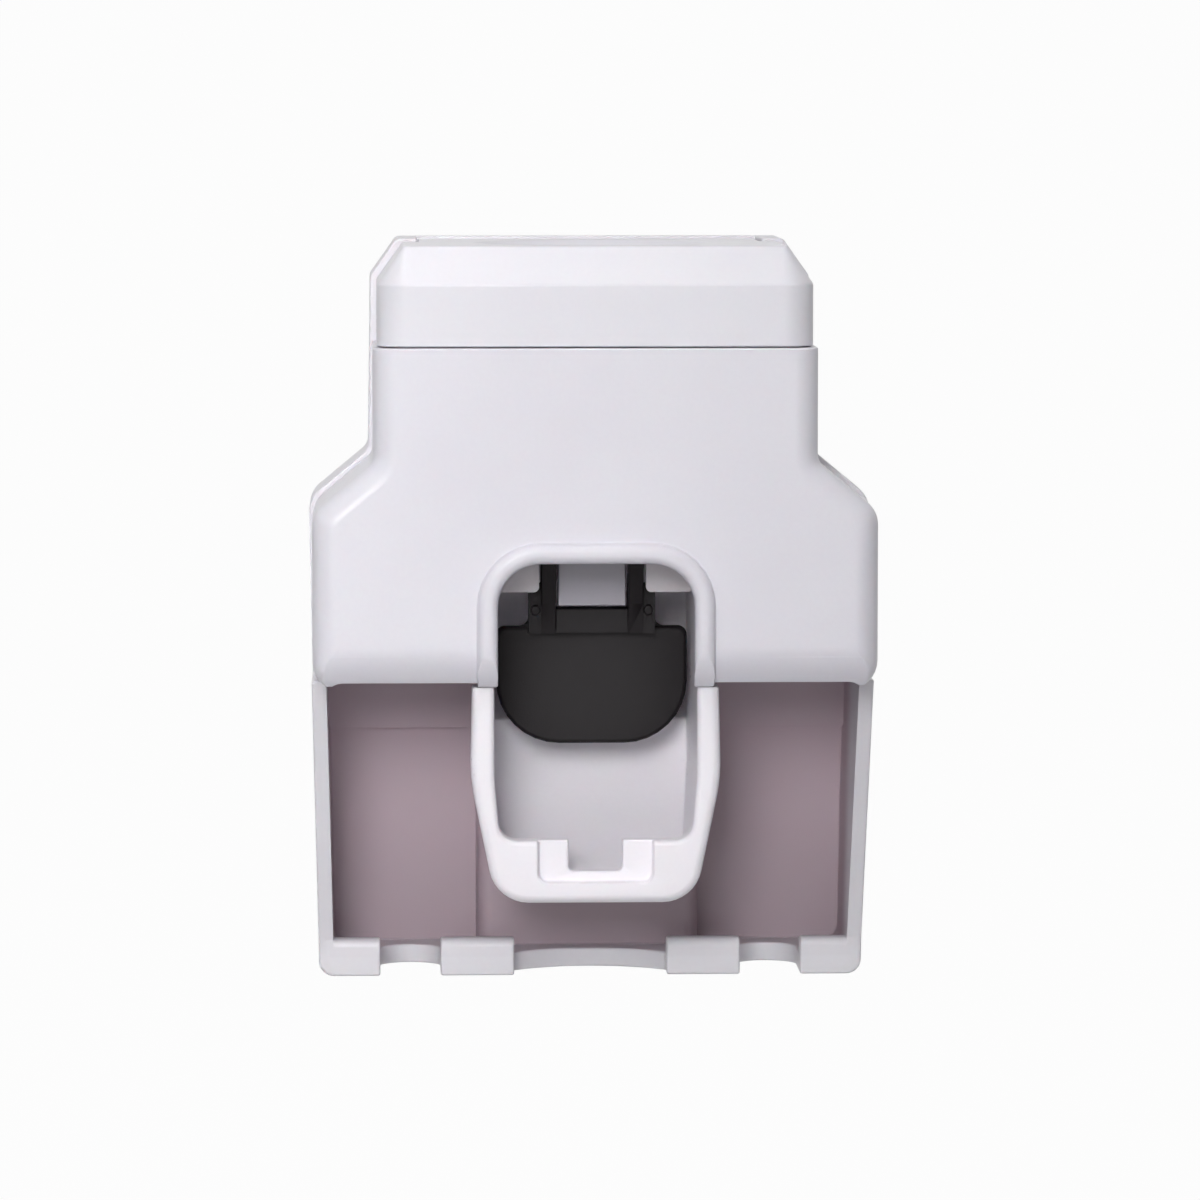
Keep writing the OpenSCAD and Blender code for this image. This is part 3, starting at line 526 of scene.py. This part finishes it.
# %% [markdown]
# ## The copies
# The rounds are as wide as the photograph shows them: 0.4 mm on the case, half of that on the
# lever, and down to 0.1 mm on the small pieces inside. A Bevel modifier would be shorter, but the
# copy could then not be measured and mended before it goes into the scene.

# %% Rounded copies of the nodes
ROUND_STEPS = 3
ATTEMPTS = 5
STRAY_WIDTHS = 0.6
STRAY_MM = 0.02
NEAR_WIDTHS = 1.2
AREA_WEIGHT = 80


def bevelled(node, width, kept_sharp):
    """Mesh of a node with a round of a width in mm on its sharp edges, apart from those that are
    kept sharp. Also the number, start and end of every sharp edge."""
    work, edges = split_faces(node)
    number = np.array([edge.index for edge in edges])
    starts = np.array([edge.verts[0].co[:] for edge in edges])
    ends = np.array([edge.verts[1].co[:] for edge in edges])
    bmesh.ops.bevel(work, geom=[edge for edge in edges if edge.index not in kept_sharp],
                    offset=width * MM, offset_type="OFFSET", segments=ROUND_STEPS, profile=0.5,
                    affect="EDGES", clamp_overlap=False, loop_slide=False)
    bmesh.ops.triangulate(work, faces=[face for face in work.faces if len(face.verts) > 4])
    return work, number, starts, ends


def rounded_copy(node, width):
    """Copy of a node with rounds of a width in mm. Edges within 1.2 widths of a strayed face stay
    sharp, and the copy is then made again."""
    source = bmesh.new()
    source.from_mesh(nodes[node].data)
    tree = BVHTree.FromBMesh(source)
    source.free()
    kept_sharp = set()
    for attempt in range(ATTEMPTS):
        work, number, starts, ends = bevelled(node, width, kept_sharp)
        corners = strayed(work, tree, (STRAY_WIDTHS * width + STRAY_MM) * MM)
        if len(corners) == 0 or attempt == ATTEMPTS - 1:
            break
        near = edge_distance(corners, starts, ends) < NEAR_WIDTHS * width * MM
        kept_sharp |= set(number[near].tolist())
        work.free()
    for edge in work.edges:
        edge.smooth = not creased(edge)
    for vert in work.verts:
        for edge in corner_creases(vert):
            edge.smooth = False
    mesh = bpy.data.meshes.new(node + "_rounded")
    work.to_mesh(mesh)
    work.free()
    mesh.shade_smooth()
    piece = finished(node + "_rounded", mesh, node)
    weigh = piece.modifiers.new("weighted_normals", "WEIGHTED_NORMAL")
    weigh.keep_sharp = True
    weigh.weight = AREA_WEIGHT
    print(node, "edges rounded:", len(number) - len(kept_sharp), "left sharp:", len(kept_sharp),
          "faces:", len(mesh.polygons), "corners astray:", len(corners))


ROUND_MM = {"hook_plate": 0.3, "rear_case": 0.4, "front_cover": 0.3, "brush_cup": 0.4,
            "top_collar": 0.35, "pump_carrier": 0.25, "pump_barrel": 0.2, "barrel_end_cap": 0.25,
            "inlet_valve": 0.15, "gasket_ring": 0.25, "pin_clips": 0.1, "spout_piston": 0.2,
            "piston_seal": 0.1, "outlet_valve": 0.1, "push_lever": 0.2, "adhesive_pad": 0.12}
for node, width in ROUND_MM.items():
    rounded_copy(node, width)

# %% [markdown]
# ## Turned pieces
# Screws, pin and gasket are round about an axis. Each is a grid of an angle and a step along a
# profile. A Screw modifier could spin the profile, but it couldn't make a thread or a cross recess.
# Worked out as arrays, both are plain formulas.


# %% Grids of points
def grid_mesh(name, points, wrap, ends=True):
    """Mesh of a grid of points (rows, columns, 3). Columns close on themselves if wrap is true,
    and the first and last rows are closed by a face each if ends is true."""
    rows, columns = points.shape[:2]
    index = np.arange(rows * columns).reshape(rows, columns)
    right = np.roll(index, -1, axis=1) if wrap else index[:, 1:]
    left = index if wrap else index[:, :-1]
    quads = np.stack([left[:-1], right[:-1], right[1:], left[1:]], axis=-1).reshape(-1, 4)
    faces = quads.tolist()
    if ends:
        faces += [index[0][::-1].tolist(), index[-1].tolist()]
    mesh = bpy.data.meshes.new(name)
    mesh.from_pydata(points.reshape(-1, 3).tolist(), [], faces)
    mesh.shade_smooth()
    return mesh


def joined(name, meshes):
    """One mesh of several, with its doubles merged, its normals outwards and its edges sharp
    where they turn by more than 45 degrees."""
    work = bmesh.new()
    for mesh in meshes:
        work.from_mesh(mesh)
    bmesh.ops.remove_doubles(work, verts=work.verts, dist=0.0001 * MM)
    bmesh.ops.recalc_face_normals(work, faces=work.faces)
    for edge in work.edges:
        edge.smooth = edge.calc_face_angle(0.0) < radians(45.0)
    mesh = bpy.data.meshes.new(name)
    work.to_mesh(mesh)
    work.free()
    mesh.shade_smooth()
    return mesh


sample = grid_mesh("sample", np.zeros((3, 4, 3)), wrap=True)
print("faces of a closed tube with 3 rings of 4 points:", len(sample.polygons))
bpy.data.meshes.remove(sample)


# %% Lathe and axes
def turned_points(radius, along, sides):
    """Lathe grid about the Z axis: (radius cos a, radius sin a, along) on rings of a height each.
    Radius may be one number a row, or a full array (rows, sides) that changes round the axis."""
    angle = np.linspace(0.0, 2 * np.pi, sides, endpoint=False)
    radius = np.asarray(radius, float)
    if radius.ndim == 1:
        radius = radius[:, None] + 0 * angle
    along = np.asarray(along, float)[:, None] + 0 * angle
    return np.stack([radius * np.cos(angle), radius * np.sin(angle), along], axis=-1)


def carried(points, at, axis):
    """Moves points from about the Z axis to about another one through at: (x, y, z) becomes
    (z, x, y) for x and (y, z, x) for y. A minus sign turns the piece round."""
    x, y, z = points[..., 0], points[..., 1], points[..., 2]
    if axis[0] == "-":
        y, z = -y, -z
    turned = {"x": (z, x, y), "y": (y, z, x), "z": (x, y, z)}[axis[-1]]
    return np.stack(turned, axis=-1) + np.asarray(at)


print("a ring of 4 sides:", turned_points([1.0], [0.0], 4).round(2).tolist())

# %% [markdown]
# ## Screws
# The mouldings are held by small self-tapping pan-head screws. The thread is a ridge that climbs
# by one pitch a turn: its height depends on the distance along the axis less the angle's share of
# the pitch. The cross recess is pressed into the head, deepest in the middle.

# %% Screw head
HEAD_R = 2.7 * MM
SHANK_R = 1.5 * MM
SCREW_SIDES = 40
DOME_ROWS = 12
DOME_BEND = 0.5
DOME_HEIGHT = 1.4
RIM_START = 0.85
RIM_TAPER = 0.97
ARM_HALF = 0.42 * MM
ARM_SLOPE = 0.12 * MM
ARM_REACH = 1.6 * MM
END_SLOPE = 0.3 * MM
RECESS_DEPTH = 1.15 * MM
RECESS_RISE = 0.45
SCREW_ANGLE = np.linspace(0.0, 2 * np.pi, SCREW_SIDES, endpoint=False)


def recess_depth(x, y):
    """Depth of the cross: (depth - rise * far) * clip((half - near) / slope) * clip((reach - far) /
    slope), where near and far are the distances from the two axes, smaller and larger."""
    near = np.minimum(np.abs(x), np.abs(y))
    far = np.maximum(np.abs(x), np.abs(y))
    side = np.clip((ARM_HALF - near) / ARM_SLOPE, 0, 1)
    end = np.clip((ARM_REACH - far) / END_SLOPE, 0, 1)
    return side * end * (RECESS_DEPTH - far * RECESS_RISE)


def head_points(head_h):
    """The head about Z, from the middle of its top at 0, over a dome of the height
    (1 - sqrt(1 - bend * (across / radius)^2)) * head * 1.4, to the shank."""
    across = np.sin(np.linspace(0.0, np.pi / 2, DOME_ROWS))[:, None] * HEAD_R + 0 * SCREW_ANGLE
    dome = (1 - np.sqrt(1 - DOME_BEND * (across / HEAD_R) ** 2)) * head_h * DOME_HEIGHT
    x, y = across * np.cos(SCREW_ANGLE), across * np.sin(SCREW_ANGLE)
    top = np.stack([x, y, dome + recess_depth(x, y)], axis=-1)
    rim = turned_points([HEAD_R, HEAD_R * RIM_TAPER, SHANK_R],
                        [head_h * RIM_START, head_h, head_h], SCREW_SIDES)
    return np.concatenate([top, rim])


print("depth of the cross in mm:", round(float(recess_depth(0.0, 0.0)) / MM, 2))

# %% Screw thread
PITCH = 1.25 * MM
ROOT_R = 1.12 * MM
ROWS_A_TURN = 9
RIDGE_SLOPE = 3.4
RUN_OUT_TURNS = 1.6
RUN_OUT_LEAST = 0.25
TIP_SHARE = 0.35


def shank_points(head_h, length):
    """The threaded shank about Z, from under the head to the tip: root + (outer - root) * ridge,
    where the ridge peaks at along / pitch - angle / turn = 1/2 and fades out at both ends."""
    rows = int((length - head_h) / PITCH * ROWS_A_TURN)
    along = np.linspace(head_h * 1.02, length, rows)[:, None]
    from_ridge = np.abs(((along / PITCH - SCREW_ANGLE / (2 * np.pi)) % 1.0) - 0.5)
    ridge = np.clip(1 - RIDGE_SLOPE * from_ridge, 0, 1)
    left = (length - along) / PITCH
    fade = np.clip((along - head_h) / PITCH, 0, 1) * np.clip(left / RUN_OUT_TURNS, RUN_OUT_LEAST, 1)
    radius = ROOT_R * np.clip(left + TIP_SHARE, 0, 1) + (SHANK_R - ROOT_R) * ridge * fade
    return turned_points(radius, along[:, 0], SCREW_SIDES)


def screws(node, head_h, axis, length, spots):
    """A node's screws, each with its head's top at a spot."""
    points = np.concatenate([head_points(head_h), shank_points(head_h, length)])
    parts = [grid_mesh("screw", carried(points, spot, axis), wrap=True) for spot in spots]
    finished(node + "_threaded", joined(node + "_threaded", parts), node)


low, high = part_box("housing_screws")
screws("housing_screws", head_h=2.0 * MM, axis="-y", length=high.y - low.y,
       spots=[(side * (high.x - HEAD_R), high.y, z) for side in (-1, 1)
              for z in (low.z + HEAD_R, high.z - HEAD_R)])
low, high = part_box("cup_screws")
screws("cup_screws", head_h=2.0 * MM, axis="-y", length=high.y - low.y,
       spots=[(side * (high.x - HEAD_R), high.y, (low.z + high.z) / 2) for side in (-1, 1)])
low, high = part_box("collar_screws")
screws("collar_screws", head_h=1.8 * MM, axis="z", length=high.z - low.z,
       spots=[(side * (high.x - HEAD_R), y, low.z) for side in (-1, 1)
              for y in (low.y + HEAD_R, high.y - HEAD_R)])
print("length of a collar screw in mm:", round((high.z - low.z) / MM, 2))

# %% [markdown]
# ## Pivot pin and gasket
# The pin is a plain rod whose ends are rounded off so that the clips slide on. The gasket is a
# rubber bush. Its bore is grooved, so that it seals on the tube's neck with a few narrow lips,
# which bend more easily than a whole bore would.

# %% Pivot pin
END_STEPS = np.array([0.0, 0.15, 0.35, 0.5]) * MM
END_DROP = 0.28 * MM
END_FACE = 0.72

low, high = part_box("pivot_pin")
pin_r = (high.z - low.z) / 2
pin_l = high.x - low.x
pin_drop = END_DROP * np.cos(END_STEPS[1:] / END_STEPS[-1] * np.pi / 2)
pin_profile = np.concatenate([[pin_r * END_FACE], pin_r - pin_drop])
pin_points = turned_points(np.concatenate([pin_profile, pin_profile[::-1]]),
                           np.concatenate([END_STEPS, (pin_l - END_STEPS)[::-1]]), 48)
pin_at = (low.x, (low.y + high.y) / 2, (low.z + high.z) / 2)
pin_grid = grid_mesh("pin", carried(pin_points, pin_at, "x"), wrap=True)
finished("pivot_pin_turned", joined("pivot_pin_turned", [pin_grid]), "pivot_pin")
print("pin length in mm:", round(pin_l / MM, 2))

# %% Gasket
NECK_R = 6.3 * MM
GROOVE_DEPTH = 0.35 * MM
GROOVE_CUT = 0.6
CORNER_R = 0.3 * MM

low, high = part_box("tube_gasket")
gasket_r = (high.x - low.x) / 2
gasket_l = high.z - low.z
up = np.linspace(0.0, 1.0, 33)
wave = np.sin(2.5 * np.pi * up) ** 2 * (1 + GROOVE_CUT) - GROOVE_CUT
groove = GROOVE_DEPTH * np.clip(wave, 0, 1)
bend = np.linspace(0.0, np.pi / 2, 5)
corner = np.stack([CORNER_R * (1 - np.cos(bend)), CORNER_R * (1 - np.sin(bend))])
bore = np.stack([NECK_R + groove, gasket_l * up])[:, 1:-1]
loop = np.concatenate([bore, np.stack([NECK_R + corner[0], gasket_l - corner[1]]),
                       np.stack([gasket_r - corner[0][::-1], gasket_l - corner[1][::-1]]),
                       np.stack([gasket_r - corner[0], corner[1]]),
                       np.stack([NECK_R + corner[0][::-1], corner[1][::-1]])], axis=1)
ring = turned_points(np.append(loop[0], loop[0][0]), np.append(loop[1], loop[1][0]), 72)
gasket_at = ((low.x + high.x) / 2, (low.y + high.y) / 2, low.z)
gasket_grid = grid_mesh("gasket", carried(ring, gasket_at, "z"), wrap=True, ends=False)
finished("tube_gasket_lipped", joined("tube_gasket_lipped", [gasket_grid]), "tube_gasket")
print("gasket length in mm:", round(gasket_l / MM, 2))

# %% [markdown]
# ## Return spring
# The turns at a compression spring's ends lie closer together than those between, so that the
# spring sits square. The height along the wire therefore climbs gently at first and at last, and
# steeper in the middle.


# %% Spring wire
def tube_along(path, radius, sides=12):
    """Round wire along a path (n, 3): path + radius * (cos a * out + sin a * side), where out is
    the direction across the path that points away from the Z axis, and side is across both."""
    ahead = np.gradient(path, axis=0)
    ahead /= np.linalg.norm(ahead, axis=1, keepdims=True)
    out = path * (1, 1, 0)
    out = out - ahead * np.sum(out * ahead, axis=1, keepdims=True)
    out /= np.linalg.norm(out, axis=1, keepdims=True)
    side = np.cross(ahead, out)
    angle = np.linspace(0.0, 2 * np.pi, sides, endpoint=False)[None, :, None]
    return path[:, None] + radius * (np.cos(angle) * out[:, None] + np.sin(angle) * side[:, None])


WIRE_R = 0.4 * MM
TURNS = 4.5
END_SHARE = 0.16
END_CLIMB = 0.12
EASED = 0.35

low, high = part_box("return_spring")
middle = (low + high) / 2
coil_r = (high.x - low.x) / 2 - WIRE_R
share = np.linspace(0.0, 1.0, 300)
first = np.clip(share / END_SHARE, 0, 1)
between = np.clip((share - END_SHARE) / (1 - 2 * END_SHARE), 0, 1)
last = np.clip((share - (1 - END_SHARE)) / END_SHARE, 0, 1)
eased = between * between * (3 - 2 * between) * EASED + between * (1 - EASED)
climb = eased * (1 - 2 * END_CLIMB) + first * END_CLIMB + last * END_CLIMB
spin = 2 * np.pi * TURNS * share
wire = np.stack([coil_r * np.cos(spin), coil_r * np.sin(spin),
                 WIRE_R + climb * (high.z - low.z - 2 * WIRE_R)], axis=1)
coil = tube_along(wire, WIRE_R) + np.array([middle.x, middle.y, low.z])
coil_grid = grid_mesh("coil", coil, wrap=True)
spring = finished("return_spring_coil", joined("return_spring_coil", [coil_grid]), "return_spring")
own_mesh(spring)
print("coil radius in mm:", round(coil_r / MM, 2))

# %% [markdown]
# ## Studio
# The floor sweeps up behind the object into a backdrop, so that no line shows between them. It is a
# profile carried sideways: flat, a quarter circle, then upright. To the camera, and in reflections,
# most of its light is a plain white glow. The rest is ordinary shading, which keeps the shadow.

# %% Floor and backdrop
FLOOR_DROP = 0.16
FLOOR_Z = cad_box[0][2] - FLOOR_DROP
FRONT_Y = -3.0
SWEEP_Y = 2.4
SWEEP_R = 0.9
SWEEP_TOP = 3.2
HALF_WIDTH = 3.5
curve = np.linspace(0.0, np.pi / 2, 25)
profile_y = np.concatenate([[FRONT_Y], SWEEP_Y + SWEEP_R * np.sin(curve), [SWEEP_Y + SWEEP_R]])
profile_z = FLOOR_Z + np.concatenate([[0.0], SWEEP_R * (1 - np.cos(curve)), [SWEEP_TOP]])
across = np.linspace(-HALF_WIDTH, HALF_WIDTH, 9)[:, None]
sweep = np.stack([across + 0 * profile_y, 0 * across + profile_y, 0 * across + profile_z], axis=-1)
sweep_grid = grid_mesh("studio_sweep", sweep, wrap=False, ends=False)
backdrop = bpy.data.objects.new("studio_sweep", sweep_grid)
scene.collection.objects.link(backdrop)


def plain_rays(place):
    """1 for rays that see the studio itself: camera, mirror-like and passing rays."""
    paths = [place.node("ShaderNodeLightPath", out=name)
             for name in ("Is Camera Ray", "Is Glossy Ray", "Is Transmission Ray")]
    return paths[0].math("MAXIMUM", paths[1].math("MAXIMUM", paths[2]))


def backdrop_white(name, glow):
    """Matt pale paper that is mixed with a white glow by a share for rays that see it."""
    material, shader, place = new_finish(name, Roughness=0.9, Specular_IOR_Level=0.1)
    fibre = noise(place, scale=60.0, detail=3.0)
    feed(shader, place, Base_Color=fibre.mix(srgb(176, 176, 178), srgb(184, 184, 186)))
    light = place.node("ShaderNodeEmission", Color=WHITE, Strength=1.0)
    surface = place.node("ShaderNodeMixShader", Fac=plain_rays(place) * glow,
                         i1=Shade(place.tree, shader.outputs[0]), i2=light)
    output = place.tree.nodes["Material Output"]
    place.tree.links.new(surface.socket, output.inputs["Surface"])
    return material


backdrop.data.materials.append(backdrop_white("studio_paper", glow=0.97))
print("floor height in metres:", round(FLOOR_Z, 4))

# %% [markdown]
# ## Light
# The photograph's light comes from in front: the cup is bright inside, with hardly a shadow from
# the paddle, and even the bays under the overhang are not black. The key lamp's narrow beam is
# aimed beside the object, so the front falls off softly to the right. A wide lamp low in front
# reaches up under the overhang, and one high up lifts the collar's chamfer.


# %% Lamps
def soft_lamp(name, at, aim, size, watts, spread):
    """A rectangular area lamp turned to its aim. A spread below 180 degrees narrows its beam, and
    a beam that is aimed beside the object falls off across it."""
    data = bpy.data.lights.new(name, "AREA")
    data.shape = "RECTANGLE"
    data.size, data.size_y = size
    data.energy = watts
    data.spread = radians(spread)
    lamp = bpy.data.objects.new(name, data)
    lamp.location = at
    lamp.rotation_euler = (Vector(aim) - Vector(at)).to_track_quat("-Z", "Y").to_euler()
    scene.collection.objects.link(lamp)


soft_lamp("key_lamp", at=(-0.36, -1.2, 0.42), aim=(-0.31, -0.03, 0.06), size=(0.6, 0.5),
          watts=1.17, spread=40)
soft_lamp("low_lamp", at=(-0.1, -1.2, -0.3), aim=(0, -0.03, -0.03), size=(1.0, 0.5),
          watts=4.9, spread=180)
soft_lamp("top_lamp", at=(-0.2, -0.45, 0.95), aim=(0, -0.03, 0.02), size=(0.5, 0.4),
          watts=3.1, spread=180)

# %% [markdown]
# ## Room
# Light from all round fills the shadows. It is kept low, because the lamps do most of the work. The
# camera and reflections would show that as grey, so for their rays the room is nearly white.

# %% Room
ROOM_LIGHT = 0.32
SEEN_LIGHT = 0.98

world = bpy.data.worlds.new("studio_room")
world.use_nodes = True
room = world.node_tree
background = room.nodes["Background"]
background.inputs["Color"].default_value = WHITE
background.inputs["Strength"].default_value = ROOM_LIGHT
fill = Shade(room, background.outputs[0])
seen = fill.node("ShaderNodeBackground", Color=WHITE, Strength=SEEN_LIGHT)
both = fill.node("ShaderNodeMixShader", Fac=plain_rays(fill), i1=fill, i2=seen)
room.links.new(both.socket, room.nodes["World Output"].inputs["Surface"])
scene.world = world
print("the room's light:", ROOM_LIGHT)

# %% [markdown]
# ## Sizes
# The frame's box is written down in millimetres. The visual model has to stay in the frame's
# box.

# %% Write the sizes
print("the frame's box in mm:", [round((top - foot) / MM, 2) for foot, top in zip(*cad_box)])
